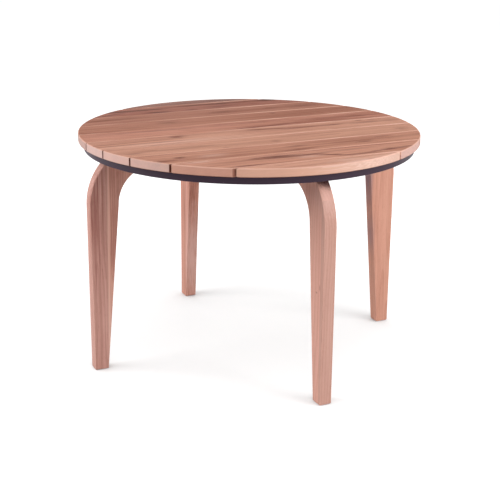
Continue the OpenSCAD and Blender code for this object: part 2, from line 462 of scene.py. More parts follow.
rail_side = RAIL_WIDTH / 2
beside = rail_side + BEAD_RADIUS / 2
rail_middle = (FRAME_BOTTOM + SLAT_BOTTOM) / 2
rail_height = SLAT_BOTTOM - FRAME_BOTTOM
batten_end = sqrt(WELD_RADIUS**2 - BATTEN_OFFSET**2)
beads = []
for turn in range(4):
    square = Matrix.Rotation(turn * pi / 2, 3, "Z")
    beads.append((square @ Vector((beside, beside, rail_middle)), (0, 0, 1), rail_height))
    for side in (-1, 1):
        place = Vector((WELD_RADIUS - BEAD_RADIUS, side * beside, rail_middle))
        beads.append((square @ place, (0, 0, 1), rail_height))
for side in (-1, 1):
    joint = (0, side * rail_side, FRAME_BOTTOM + BEAD_RADIUS)
    beads.append((joint, (1, 0, 0), RAIL_WIDTH))
    for batten in (-BATTEN_OFFSET, BATTEN_OFFSET):
        beads.append(((batten, side * beside, PLATE_BOTTOM), (1, 0, 0), BATTEN_WIDTH))
        along = Vector((batten, side * batten_end, 0)).normalized()
        beads.append(plate_bead(along, BATTEN_WIDTH))
for angle in LUG_ANGLES:
    beads.append(plate_bead(Vector((cos(angle), sin(angle), 0)), LUG_WIDTH))
bm = turned_mesh(BEAD_PROFILE, BEAD_STEPS)
repeat(
    bm,
    [
        Matrix.LocRotScale(
            Vector(place),
            Vector(way).to_track_quat("Z", "Y"),
            Vector((BEAD_RADIUS, BEAD_RADIUS, BEAD_SPAN * length)),
        )
        for place, way, length in beads
    ],
)
make_piece(bm, "weld_beads", POWDER_COAT, None)


# The legs: each is glued up from upright hardwood boards and sawn to a knee, with an arm
# that is bolted under a rail. The arrises are just broken and the wood is oiled.

LEG_THICKNESS = 40 * MM
LEG_FLOOR = 2 * MM
FOOT_DEPTH = 44 * MM
KNEE_DEPTH = 93 * MM
KNEE_HEIGHT = 545 * MM
OUTER_KNEE_RADIUS = 195 * MM
INNER_KNEE_RADIUS = 115 * MM
ARM_BOTTOM = 660 * MM
ARM_END = 180 * MM
ARM_NOSE_RADIUS = 14 * MM
LEG_ARRIS = 1.6 * MM
KNEE_STEPS = 40
NOSE_STEPS = 8


def part_of(tree, vector, axis):
    """The X, Y or Z of a vector."""
    return add(tree, "ShaderNodeSeparateXYZ", {0: vector}).outputs[axis]


def stretched_noise(tree, place, stretch, detail=2.0, roughness=0.5, shift=(0, 0, 0)):
    """Noise whose grains are long where the stretch is small, in grains to the metre."""
    scaled = add(tree, "ShaderNodeMapping", {"Vector": place, "Scale": stretch, "Location": shift})
    return noise(tree, scaled.outputs[0], 1.0, detail, roughness)


def build_wood_grain():
    """Group: wood whose fibres run along X, with growth rings round the X axis."""
    inputs = {
        "Place": ("Vector", None),
        "Pale": ("Color", (0.6, 0.3, 0.2, 1)),
        "Deep": ("Color", (0.4, 0.2, 0.1, 1)),
        "Ring Width": ("Float", 0.008),
        "Ring Depth": ("Float", 0.3),
        "Streak Depth": ("Float", 0.3),
        "Fibre Depth": ("Float", 0.2),
        "Swirl": ("Float", 0.0),
    }
    tree, given, result = new_group("wood_grain", inputs, SURFACE)
    place = given["Place"]
    bend = stretched_noise(tree, place, (1.6, 9.0, 9.0))
    across = [part_of(tree, place, axis) for axis in "YZ"]
    squares = [maths(tree, "MULTIPLY", part, part) for part in across]
    distance = maths(tree, "SQRT", maths(tree, "ADD", *squares))
    distance = maths(tree, "MULTIPLY_ADD", maths(tree, "SUBTRACT", bend, 0.5), 0.03, distance)
    rings = maths(tree, "ADD", maths(tree, "DIVIDE", distance, given["Ring Width"]), given["Swirl"])
    ring = maths(tree, "FRACT", rings)
    rise = maths(tree, "POWER", ring, 2.5)
    fall = spread(tree, ring, 0.93, 1.0, 1.0, 0.0, "SMOOTHSTEP")
    ring = maths(tree, "MULTIPLY", rise, fall)
    streak = stretched_noise(tree, place, (1.3, 34.0, 34.0), detail=3.0, roughness=0.55)
    streak = spread(tree, streak, 0.40, 0.66, 0.0, 1.0, "SMOOTHSTEP")
    thread = stretched_noise(tree, place, (2.6, 150.0, 150.0), shift=(3.1, 0, 0))
    thread = spread(tree, thread, 0.42, 0.70, 0.0, 1.0, "SMOOTHSTEP")
    cloud = stretched_noise(tree, place, (2.4, 11.0, 11.0), detail=1.0, shift=(7.7, 0, 0))
    streak = maths(tree, "MULTIPLY_ADD", thread, 0.6, streak)
    streak = maths(tree, "MULTIPLY", streak, spread(tree, cloud, 0.3, 0.7, 0.35, 1.15))
    fibre = stretched_noise(tree, place, (9.0, 620.0, 620.0), roughness=0.6)
    pores = stretched_noise(tree, place, (55.0, 1500.0, 1500.0), detail=1.0)
    pores = spread(tree, pores, 0.62, 0.72, 0.0, 1.0)
    share = maths(tree, "MULTIPLY", ring, given["Ring Depth"])
    share = maths(tree, "MULTIPLY_ADD", streak, given["Streak Depth"], share)
    raised = maths(tree, "SUBTRACT", fibre, 0.45)
    share = maths(tree, "MULTIPLY_ADD", raised, given["Fibre Depth"], share)
    share = maths(tree, "MULTIPLY_ADD", pores, 0.35, share, clamp=True)
    tree.links.new(mixed(tree, share, given["Pale"], given["Deep"]), result["Colour"])
    tree.links.new(spread(tree, share, 0.0, 1.0, 0.44, 0.6), result["Roughness"])
    height = maths(tree, "SUBTRACT", maths(tree, "MULTIPLY", fibre, 0.5), pores)
    tree.links.new(height, result["Height"])
    return tree


def build_figure_and_light_mask():
    """Group: the soft mask of a knot, a deep-toned flame, pale sapwood, painted light and painted
    shade, ragged along the fibres.
    """
    inputs = {
        "Place": ("Vector", None),
        "Ragged Edge": ("Float", 0.0),
        "Middle": ("Vector", (0, 0, 0)),
        "Reach": ("Vector", (0.1, 0.01, 0.01)),
        "Slope": ("Float", 0.0),
    }
    tree, given, result = new_group("figure_and_painted_light_mask", inputs, {"Mask": "Float"})
    away = vectors(tree, "SUBTRACT", given["Place"], given["Middle"])
    rise = maths(tree, "MULTIPLY", part_of(tree, away, "X"), given["Slope"])
    slanted = add(tree, "ShaderNodeCombineXYZ", {"Y": rise}).outputs[0]
    away = vectors(tree, "DIVIDE", vectors(tree, "SUBTRACT", away, slanted), given["Reach"])
    far = vectors(tree, "LENGTH", away, result="Value")
    far = maths(tree, "ADD", far, given["Ragged Edge"])
    tree.links.new(spread(tree, far, 0.0, 1.0, 1.0, 0.0, "SMOOTHSTEP"), result["Mask"])
    return tree


def build_glued_boards():
    """Group: where the outer board of a leg starts, and the pale strip along its glue line."""
    inputs = {
        "Place": ("Vector", None),
        "Outward": ("Vector", (1, 0, 0)),
        "Floor Radius": ("Float", 0.502),
        "Lean": ("Float", -0.019),
        "Strip Width": ("Float", 0.006),
    }
    outputs = {"Outer Board": "Float", "Strip": "Float"}
    tree, given, result = new_group("glued_boards", inputs, outputs)
    radius = vectors(tree, "DOT_PRODUCT", given["Place"], given["Outward"], result="Value")
    height = part_of(tree, given["Place"], "Z")
    line = maths(tree, "MULTIPLY_ADD", height, given["Lean"], given["Floor Radius"])
    beyond = maths(tree, "SUBTRACT", radius, line)
    tree.links.new(spread(tree, beyond, -0.0004, 0.0004, 0.0, 1.0), result["Outer Board"])
    aside = maths(tree, "DIVIDE", maths(tree, "ABSOLUTE", beyond), given["Strip Width"])
    tree.links.new(spread(tree, aside, 0.35, 0.65, 1.0, 0.0, "SMOOTHSTEP"), result["Strip"])
    return tree


WOOD_GRAIN = build_wood_grain()
FIGURE_AND_LIGHT_MASK = build_figure_and_light_mask()
GLUED_BOARDS = build_glued_boards()
GRAIN_JUMP = (0.37, 0.021, 0.013)
PORE_DEPTH = 0.3 * MM
EDGE_GRAIN = (3.5, 330.0, 330.0)
RAGGED = 1.2
SWIRL = 1.2
RIM_BEGINS = TOP_RADIUS - 2.2 * MM
RIM_FULL = TOP_RADIUS - 0.4 * MM
# Keeps a divisor above nought
OVER_ONE = 1.001


def slat_masks(tree, place):
    """Where a slat has its sawn rim, how far right a point lies, where its arrises are pale with
    wear and a painted highlight, and where painted shade falls in its gaps and on its underside."""
    normal = add(tree, "ShaderNodeNewGeometry").outputs["True Normal"]
    rise = part_of(tree, normal, "Z")
    facing = vectors(tree, "ABSOLUTE", normal)
    facing_y, facing_z = part_of(tree, facing, "Y"), part_of(tree, facing, "Z")
    along = part_of(tree, place, "X")
    out = vectors(tree, "LENGTH", vectors(tree, "MULTIPLY", place, (1, 1, 0)), result="Value")
    rim = spread(tree, out, RIM_BEGINS, RIM_FULL, 0.0, 0.8)
    upright = spread(tree, facing_z, 0.35, 0.95, 1.0, 0.0, "SMOOTHSTEP")
    rim = maths(tree, "MULTIPLY", rim, upright)
    right = spread(tree, along, -0.1, 0.2, 0.0, 1.0)
    # Pale arrises with wear and a painted highlight: kept to the upper edges and strongest to the
    # right
    worn_and_lit = maths(tree, "MAXIMUM", spread(tree, along, -0.2, 0.15, 0.35, 1.0), upright)
    worn_and_lit = maths(tree, "MULTIPLY", worn_and_lit, spread(tree, rise, -0.2, 0.1, 0.0, 1.0))
    aside = maths(tree, "ABSOLUTE", part_of(tree, place, "Y"))
    rim_facing = maths(tree, "DIVIDE", aside, TOP_RADIUS)
    turned_in = maths(tree, "SUBTRACT", facing_y, rim_facing)
    turned_in = maths(tree, "DIVIDE", turned_in, maths(tree, "SUBTRACT", OVER_ONE, rim_facing))
    # Painted shade on the walls of the gaps, fading out towards the right end
    gap_wall_shade = spread(tree, turned_in, 0.15, 0.5, 0.0, 0.95)
    gap_wall_shade = maths(tree, "MULTIPLY", gap_wall_shade, spread(tree, facing_z, 0.15, 0.45, 1.0, 0.0))
    gap_wall_shade = maths(tree, "MULTIPLY", gap_wall_shade, spread(tree, along, 0.17, 0.25, 1.0, 0.0))
    # Painted shade on faces that turn down: the underside and the lower arrises
    underside_shade = spread(tree, rise, -0.85, -0.1, 0.75, 0.0)
    return rim, right, worn_and_lit, maths(tree, "MAXIMUM", gap_wall_shade, underside_shade)


def wood_material(
    name,
    pale,
    deep,
    pith,
    turn,
    ring_width,
    streak_depth,
    fibre_depth,
    figures_and_painted_light,
    figure_and_shade_colour,
    sap_and_light_colour,
    arris_wear_and_highlight,
    arris_share,
    shine,
    ragged=RAGGED,
    edge_grain=EDGE_GRAIN,
    glued=None,
    slat_colours=None,
):
    """Wood of one board: pith is the heart of its log seen from the table's middle, and turn brings
    the grain to the board's own direction, with a slight slope. A figure with a depth under nought
    is pale sapwood, one over nought a knot or flame; on the legs some are painted light and shade."""
    material, tree, shader = new_material(name)
    place = add(tree, "ShaderNodeTexCoord").outputs["Object"]
    away = vectors(tree, "SUBTRACT", place, pith)
    turned = add(tree, "ShaderNodeMapping", {"Vector": away, "Rotation": turn}).outputs[0]
    if glued:
        values = {"Place": place, "Outward": glued["outward"], "Floor Radius": glued["line"]}
        boards = place_group(tree, GLUED_BOARDS, values)
        outer = boards["Outer Board"]
        turned = vectors(tree, "ADD", turned, vectors(tree, "MULTIPLY", GRAIN_JUMP, outer))
        pale = mixed(tree, outer, pale, glued["outer_pale"])
        deep = mixed(tree, outer, deep, glued["outer_deep"])
    swirl, dark_figure_and_shade, sap_and_light = 0.0, 0.0, 0.0
    edge = maths(tree, "SUBTRACT", stretched_noise(tree, turned, edge_grain), 0.5)
    edge = maths(tree, "MULTIPLY", edge, ragged)
    for middle, reach, slope, depth in figures_and_painted_light:
        values = {
            "Place": place,
            "Ragged Edge": edge,
            "Middle": middle,
            "Reach": reach,
            "Slope": slope,
        }
        found = place_group(tree, FIGURE_AND_LIGHT_MASK, values)["Mask"]
        if depth < 0:
            sap_and_light = maths(tree, "MULTIPLY_ADD", found, -depth, sap_and_light, clamp=True)
        else:
            swirl = maths(tree, "MULTIPLY_ADD", found, SWIRL * depth, swirl)
            dark_figure_and_shade = maths(tree, "MULTIPLY_ADD", found, depth, dark_figure_and_shade, clamp=True)
    values = {
        "Place": turned,
        "Pale": pale,
        "Deep": deep,
        "Ring Width": ring_width,
        "Streak Depth": streak_depth,
        "Fibre Depth": fibre_depth,
        "Swirl": swirl,
    }
    grain = place_group(tree, WOOD_GRAIN, values)
    colour = grain["Colour"]
    # Knots and flames, and on the legs painted shade
    if dark_figure_and_shade:
        colour = mixed(tree, dark_figure_and_shade, colour, figure_and_shade_colour)
    if glued:
        strip = maths(tree, "MULTIPLY", boards["Strip"], glued["strip_share"])
        colour = mixed(tree, strip, colour, GLUE_STRIP_COLOUR)
    if slat_colours:
        left_rim, right_rim, gap_and_underside_shade = slat_colours
        rim, right, worn_and_lit, painted_gap_shade = slat_masks(tree, place)
        colour = mixed(tree, rim, colour, mixed(tree, right, left_rim, right_rim))
    # Pale sapwood, and on the legs painted light
    if sap_and_light:
        colour = mixed(tree, sap_and_light, colour, sap_and_light_colour)
    arris = add(tree, "ShaderNodeAttribute", attribute_name="arris").outputs["Fac"]
    patch = stretched_noise(tree, place, (5.0, 5.0, 5.0))
    patch = spread(tree, patch, 0.35, 0.65, 0.55 * arris_share, 1.2 * arris_share)
    if slat_colours:
        patch = maths(tree, "MULTIPLY", patch, worn_and_lit)
    # Pale arrises: wear, and on the slats a painted highlight as well
    colour = mixed(tree, maths(tree, "MULTIPLY", arris, patch), colour, arris_wear_and_highlight)
    # Painted shade in the gaps and on the undersides of the slats
    if slat_colours:
        colour = mixed(tree, painted_gap_shade, colour, gap_and_underside_shade)
    finish_shader(tree, shader, colour, grain, bump=0.2, bump_depth=PORE_DEPTH)
    shader.inputs["Specular IOR Level"].default_value = shine
    return material


def arc_of(bm, start, centre, angle, steps):
    """Sweeps a new vertex round a centre, both given as x and z on the near face of a leg,
    and returns both ends of the arc."""
    start, centre = [(x, -LEG_THICKNESS / 2, z) for x, z in (start, centre)]
    first = bm.verts.new(start)
    swept = bmesh.ops.spin(
        bm, geom=[first], cent=centre, axis=(0, 1, 0), angle=angle, steps=steps
    )
    return first, swept["geom_last"][0]


def leg_mesh(direction):
    """A leg whose arm points in from a direction round the table, in radians."""
    bm = bmesh.new()
    near = -LEG_THICKNESS / 2
    inside = TOP_RADIUS - KNEE_DEPTH
    nose = ARM_END + ARM_NOSE_RADIUS
    knee_rise = FRAME_BOTTOM - KNEE_HEIGHT
    outer_low, outer_high = arc_of(
        bm,
        (TOP_RADIUS, KNEE_HEIGHT),
        (TOP_RADIUS - OUTER_KNEE_RADIUS, KNEE_HEIGHT),
        -atan2(knee_rise, sqrt(OUTER_KNEE_RADIUS**2 - knee_rise**2)),
        KNEE_STEPS,
    )
    inner_low, inner_high = arc_of(
        bm, (inside, KNEE_HEIGHT), (inside - INNER_KNEE_RADIUS, KNEE_HEIGHT), -pi / 2, KNEE_STEPS
    )
    nose_low, nose_high = arc_of(
        bm, (nose, ARM_BOTTOM), (nose, ARM_BOTTOM + ARM_NOSE_RADIUS), pi / 2, NOSE_STEPS
    )
    arm_top = bm.verts.new((ARM_END, near, FRAME_BOTTOM))
    heel = bm.verts.new((TOP_RADIUS, near, LEG_FLOOR))
    taper = (KNEE_DEPTH - FOOT_DEPTH) * LEG_FLOOR / KNEE_HEIGHT
    toe = bm.verts.new((TOP_RADIUS - FOOT_DEPTH - taper, near, LEG_FLOOR))
    for first, second in (
        (outer_high, arm_top),
        (arm_top, nose_high),
        (nose_low, inner_high),
        (inner_low, toe),
        (toe, heel),
        (heel, outer_low),
    ):
        bm.edges.new((first, second))
    bmesh.ops.contextual_create(bm, geom=bm.edges[:])
    thicken(bm, (0, LEG_THICKNESS, 0))
    round_off(bm, shape_edges(bm, least_angle=25), LEG_ARRIS, segments=3)
    turn_round(bm, direction)
    return bm


LEG_ARRIS_COLOUR = linear(226, 180, 162)
GLUE_STRIP_COLOUR = linear(232, 186, 166)
# The pale colour of painted light on the legs, near the floor and on the knees
LEG_PAINTED_LIGHT_COLOUR = linear(228, 184, 172)
UPRIGHT = radians(90)
# Places are in metres; each figure, or mark of painted light or shade, has a middle, a reach,
# a slope and a depth of colour
LEGS = {
    "right": {
        "direction": 0,
        "pith": (0.515, 0.045, 0.47),
        "turn": (0, UPRIGHT + 0.05, 0.0),
        "pale": linear(218, 162, 141),
        "deep": linear(172, 110, 88),
        "ring_width": 0.006,
        "streaks": 0.3,
        "glue_line": 0.535,
        "strip_share": 0.1,
        # Its purple grey figure colour and both marks are painted shade on the inner face, deepest
        # under the top
        "figure_and_shade_colour": linear(148, 121, 129),
        "figures_and_painted_light": (
            ((0.458, 0.0, 0.60), (0.018, 0.05, 0.42), 0, 0.9),
            ((0.476, 0.0, 0.33), (0.014, 0.05, 0.14), 0, 0.5),
        ),
    },
    "back": {
        "direction": pi / 2,
        "pith": (0.2, 0.58, 0.1),
        "turn": (0, UPRIGHT, 0),
        "pale": linear(221, 161, 142),
        "deep": linear(160, 97, 80),
        "ring_width": 0.008,
        "streaks": 0.5,
        "glue_line": 0.532,
        "strip_share": 0.2,
        # The pale mark is painted light: it lightens the inner face, most near the floor
        "figures_and_painted_light": (((0.0, 0.490, 0.12), (0.05, 0.026, 0.60), 0, -0.95),),
    },
    "left": {
        "direction": pi,
        "pith": (-0.60, -0.17, 0.0),
        "turn": (0, UPRIGHT - 0.006, 0.006),
        "pale": linear(224, 170, 153),
        "deep": linear(164, 102, 88),
        "outer_pale": linear(213, 164, 151),
        "outer_deep": linear(150, 92, 80),
        "ring_width": 0.005,
        "streaks": 0.3,
        "glue_line": 0.502,
        "strip_share": 0.7,
        "ragged": 3.2,
        "edge_grain": (2.0, 210.0, 210.0),
        # The reddish marks are streaks and painted shade towards the top; the pale ones are painted
        # light
        "figure_and_shade_colour": linear(132, 46, 34),
        "figures_and_painted_light": (
            ((-0.537, -0.02, 0.52), (0.036, 0.016, 0.26), 0, 0.45),
            ((-0.515, -0.02, 0.65), (0.06, 0.016, 0.08), 0, 0.2),
            ((-0.475, -0.02, 0.39), (0.03, 0.016, 0.18), 0, 0.5),
            ((-0.495, -0.02, 0.10), (0.03, 0.016, 0.26), 0, -0.4),
            ((-0.545, 0.0, 0.63), (0.03, 0.017, 0.08), 0, -0.4),
        ),
    },
    "front": {
        "direction": -pi / 2,
        "pith": (-0.16, -0.60, 0.3),
        "turn": (0.006, UPRIGHT, 0),
        "pale": linear(220, 168, 152),
        "deep": linear(176, 118, 100),
        "outer_pale": linear(207, 162, 148),
        "outer_deep": linear(170, 118, 102),
        "ring_width": 0.008,
        "streaks": 0.3,
        "glue_line": 0.54,
        "strip_share": 0.0,
        "figure_and_shade_colour": linear(78, 38, 40),
        "figures_and_painted_light": (
            ((-0.02, -0.512, 0.352), (0.012, 0.007, 0.005), 0, 0.4),
            ((-0.02, -0.530, 0.372), (0.012, 0.004, 0.014), 0, 0.35),
            ((-0.02, -0.486, 0.20), (0.012, 0.004, 0.09), 0, 0.35),
            # Painted shadow under the hoop, painted shade at the top of the profile face, painted
            # sheen on the knee
            ((0.014, -0.492, 0.683), (0.042, 0.040, 0.036), 0, 1.6),
            ((-0.02, -0.470, 0.66), (0.02, 0.10, 0.09), 0, 0.25),
            ((0.0, -0.52, 0.64), (0.04, 0.06, 0.08), 0, -0.5),
        ),
    },
}
for name, leg in LEGS.items():
    glued = {
        "outward": (round(cos(leg["direction"])), round(sin(leg["direction"])), 0),
        "line": leg["glue_line"],
        "outer_pale": leg.get("outer_pale", leg["pale"]),
        "outer_deep": leg.get("outer_deep", leg["deep"]),
        "strip_share": leg["strip_share"],
    }
    wood = wood_material(
        "oiled_wood_leg_" + name,
        leg["pale"],
        leg["deep"],
        leg["pith"],
        leg["turn"],
        ring_width=leg["ring_width"],
        streak_depth=leg["streaks"],
        fibre_depth=0.35,
        figures_and_painted_light=leg["figures_and_painted_light"],
        figure_and_shade_colour=leg.get("figure_and_shade_colour"),
        sap_and_light_colour=LEG_PAINTED_LIGHT_COLOUR,
        arris_wear_and_highlight=LEG_ARRIS_COLOUR,
        arris_share=0.4,
        shine=0.1,
        ragged=leg.get("ragged", RAGGED),
        edge_grain=leg.get("edge_grain", EDGE_GRAIN),
        glued=glued,
    )
    make_piece(leg_mesh(leg["direction"]), "knee_leg_" + name, wood, "leg_" + name)


# The bolts, washers and nuts of the legs and the screws of the slats: zinc plated steel from
# the shelf. The bolts come up through the arms into nuts welded on the floor of the rails,
# and the screws go up through the lugs and battens.

ZINC = grained_material(
    "zinc_plate",
    colour=linear(206, 208, 212),
    worn_and_lit=linear(150, 150, 152),
    wear=0.2,
    grains=2200.0,
    mottle=0.2,
    roughness=0.38,
    bump=0.1,
    Metallic=1.0,
)
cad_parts["leg_nuts"].data.materials.clear()
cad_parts["leg_nuts"].data.materials.append(ZINC)

HEX_WIDTH = 13 * MM
BOLT_RADIUS = 4 * MM
BOLT_LENGTH = 50 * MM
BOLT_HEAD_HEIGHT = 5.3 * MM
BOLT_CHAMFER = 0.9 * MM
BOLT_STEPS = 16
BOLTS_TO_A_LEG = 3
FIRST_BOLT_RADIUS = 205 * MM
BOLT_SPACING = 60 * MM
WASHER_RADIUS = 8 * MM
WASHER_HOLE_RADIUS = 4.15 * MM
WASHER_THICKNESS = 1.6 * MM
WASHER_CHAMFER = 0.3 * MM
WASHER_STEPS = 24
bolt_places = [
    Matrix.Rotation(turn * pi / 2, 4, "Z")
    @ Matrix.Translation(
        (FIRST_BOLT_RADIUS + number * BOLT_SPACING, 0, ARM_BOTTOM - WASHER_THICKNESS)
    )
    for turn in range(4)
    for number in range(BOLTS_TO_A_LEG)
]


def add_prism(bm, sides, radius, bottom, top, turn=0.0):
    """Adds an upright prism or cylinder to a mesh."""
    bmesh.ops.create_cone(
        bm,
        cap_ends=True,
        segments=sides,
        radius1=radius,
        radius2=radius,
        depth=top - bottom,
        matrix=Matrix.Translation((0, 0, (top + bottom) / 2)) @ Matrix.Rotation(turn, 4, "Z"),
    )


bm = bmesh.new()
add_prism(bm, 6, HEX_WIDTH / 2 / cos(pi / 6), -BOLT_HEAD_HEIGHT, 0, turn=pi / 6)
underside = [
    edge for edge in bm.edges if all(vert.co.z < -BOLT_HEAD_HEIGHT / 2 for vert in edge.verts)
]
round_off(bm, underside, BOLT_CHAMFER, segments=1)
add_prism(bm, BOLT_STEPS, BOLT_RADIUS, 0, BOLT_LENGTH)
repeat(bm, bolt_places)
make_piece(bm, "hexagon_bolts", ZINC, "leg_bolts", smooth_below=25)

washer_profile = (
    (WASHER_HOLE_RADIUS, 0),
    (WASHER_RADIUS - WASHER_CHAMFER, 0),
    (WASHER_RADIUS, WASHER_CHAMFER),
    (WASHER_RADIUS, WASHER_THICKNESS),
    (WASHER_HOLE_RADIUS, WASHER_THICKNESS),
)
bm = turned_mesh(washer_profile, WASHER_STEPS, closed=True)
repeat(bm, bolt_places)
make_piece(bm, "round_washers", ZINC, "leg_washers", smooth_below=30)

SCREW_RADIUS = 2.5 * MM
SCREW_LENGTH = 23 * MM
SCREW_TIP = 4 * MM
SCREW_HEAD_RADIUS = 4.75 * MM
SCREW_HEAD_HEIGHT = 3 * MM
# The dome of the head, as shares of its radius and height
SCREW_DOME = ((0.8, 0.85), (1, 0.35))
SOCKET_RADIUS = 2.1 * MM
SOCKET_DEPTH = 1.6 * MM
SOCKET_DRAFT = 0.95
SOCKET_LOBE = 0.72
SCREW_SPREAD = 60 * MM
SCREW_STEPS = 12
screw_profile = (
    (0, SOCKET_DEPTH - SCREW_HEAD_HEIGHT),
    (SOCKET_DRAFT * SOCKET_RADIUS, SOCKET_DEPTH - SCREW_HEAD_HEIGHT),
    (SOCKET_RADIUS, -SCREW_HEAD_HEIGHT),
    *((out * SCREW_HEAD_RADIUS, -up * SCREW_HEAD_HEIGHT) for out, up in SCREW_DOME),
    (SCREW_HEAD_RADIUS, 0),
    (SCREW_RADIUS, 0),
    (SCREW_RADIUS, SCREW_LENGTH - SCREW_TIP),
    (0, SCREW_LENGTH),
)
screw_places = [
    (LUG_HOLE_RADIUS * cos(angle), LUG_HOLE_RADIUS * sin(angle)) for angle in LUG_ANGLES
] + [
    (side * BATTEN_OFFSET, middle + end * SCREW_SPREAD / 2)
    for middle in SLAT_MIDDLES[1:-1]
    for side in (-1, 1)
    for end in (-1, 1)
]
bm = turned_mesh(screw_profile, SCREW_STEPS)
lobes = [
    vert
    for vert in bm.verts
    if vert.co.z < 0
    and vert.co.xy.length < 1.1 * SOCKET_RADIUS
    and round(atan2(vert.co.y, vert.co.x) * SCREW_STEPS / (2 * pi)) % 2
]
bmesh.ops.scale(bm, verts=lobes, vec=(SOCKET_LOBE, SOCKET_LOBE, 1))
repeat(bm, [Matrix.Translation((x, y, PLATE_BOTTOM)) for x, y in screw_places])
make_piece(bm, "pan_head_screws", ZINC, "slat_screws", smooth_below=35)


# The glides: round pads of black nylon, moulded in one with a pin that is pressed into a hole
# in the foot. They keep the end grain off the floor.

NYLON = grained_material(
    "black_nylon",
    colour=linear(38, 37, 37),
    worn_and_lit=linear(80, 78, 76),
    wear=0.4,
    grains=1800.0,
    mottle=0.2,
    roughness=0.55,
    bump=0.2,
    Specular_IOR_Level=0.4,
)
GLIDE_RADIUS = 15 * MM
GLIDE_CORNER = 0.8 * MM
CORNER_BEND = 0.3
GLIDE_PIN_RADIUS = 2.5 * MM
GLIDE_PIN_LENGTH = 12 * MM
GLIDE_STEPS = 48
glide_profile = (
    (0, 0),
    (GLIDE_RADIUS - GLIDE_CORNER, 0),
    (GLIDE_RADIUS - CORNER_BEND * GLIDE_CORNER, CORNER_BEND * GLIDE_CORNER),
    (GLIDE_RADIUS, GLIDE_CORNER),
    (GLIDE_RADIUS, LEG_FLOOR),
    (GLIDE_PIN_RADIUS, LEG_FLOOR),
    (GLIDE_PIN_RADIUS, LEG_FLOOR + GLIDE_PIN_LENGTH),
    (0, LEG_FLOOR + GLIDE_PIN_LENGTH),
)
for name, leg in LEGS.items():
    foot = TOP_RADIUS - FOOT_DEPTH / 2
    place = (foot * cos(leg["direction"]), foot * sin(leg["direction"]), 0)
    bm = turned_mesh(glide_profile, GLIDE_STEPS)
    bmesh.ops.translate(bm, verts=bm.verts, vec=place)
    make_piece(bm, "foot_glide_" + name, NYLON, "glide_" + name)


# The slats: ten planed hardwood boards, 27 mm thick, with rounded edges. They are laid side
# by side with 5 mm gaps, sawn round together and screwed down from below.

SLAT_THICKNESS = 27 * MM
TOP_HEIGHT = SLAT_BOTTOM + SLAT_THICKNESS
SLAT_ROUND = 3 * MM
CORNER_BREAK = 0.7 * MM
RIM_STEPS = 720
CORNER_CLEAR = 14 * MM
TOLERANCE = 0.1 * MM


def slat_mesh(middle):
    """One board of the top, cut round at its ends and rounded along all its edges."""
    bm = disc_mesh(TOP_RADIUS, RIM_STEPS, SLAT_BOTTOM)
    corners = []
    for side in (-1, 1):
        edge_at = middle + side * SLAT_WIDTH / 2
        if abs(edge_at) < TOP_RADIUS:
            cut_off(bm, (0, edge_at, 0), (0, side, 0))
            reach = sqrt(TOP_RADIUS**2 - edge_at**2)
            corners += [Vector((end * reach, edge_at, SLAT_BOTTOM)) for end in (-1, 1)]
    close = [
        vert
        for vert in bm.verts
        if any(TOLERANCE < (vert.co - corner).length < CORNER_CLEAR for corner in corners)
    ]
    bmesh.ops.dissolve_verts(bm, verts=close)
    thicken(bm, (0, 0, SLAT_THICKNESS))
    level = [
        edge
        for edge in shape_edges(bm, least_angle=20)
        if abs(edge.verts[0].co.z - edge.verts[1].co.z) < TOLERANCE
    ]
    round_off(bm, level, SLAT_ROUND, segments=4)
    round_off(bm, shape_edges(bm, least_angle=28), CORNER_BREAK, segments=2)
    return bm


# Pale arrises of the slats, from wear and a painted highlight
SLAT_ARRIS_WEAR_AND_HIGHLIGHT = linear(236, 190, 172)
SLAT_SAP_COLOUR = linear(234, 198, 184)
# Colours of the painted shade in the gaps and on the undersides of the slats
PALE_GAP_SHADE = linear(150, 102, 86)
DARK_GAP_SHADE = linear(92, 46, 36)
# The shares of a board's tone in its pale wood, its deep wood and its knots and flames
PALE_SHARES = (1.05, 1.05, 1.05)
DEEP_SHARES = (0.76, 0.68, 0.67)
FIGURE_SHARES = (0.60, 0.49, 0.46)
FIGURE_DEPTH = 60 * MM
GRAIN_DIP = 0.035
GRAIN_SLANT = 0.012
# The heart of the log steps on from board to board, and sways across and up and down
HEART_STEP = 370 * MM
HEART_SWAY = 50 * MM
HEART_HEIGHT = 680 * MM
HEART_RISE = 20 * MM


def shaded(tone, shares):
    """The scene colour of a screen colour, with a share taken of each part."""
    return linear(*[part * share for part, share in zip(tone, shares)])
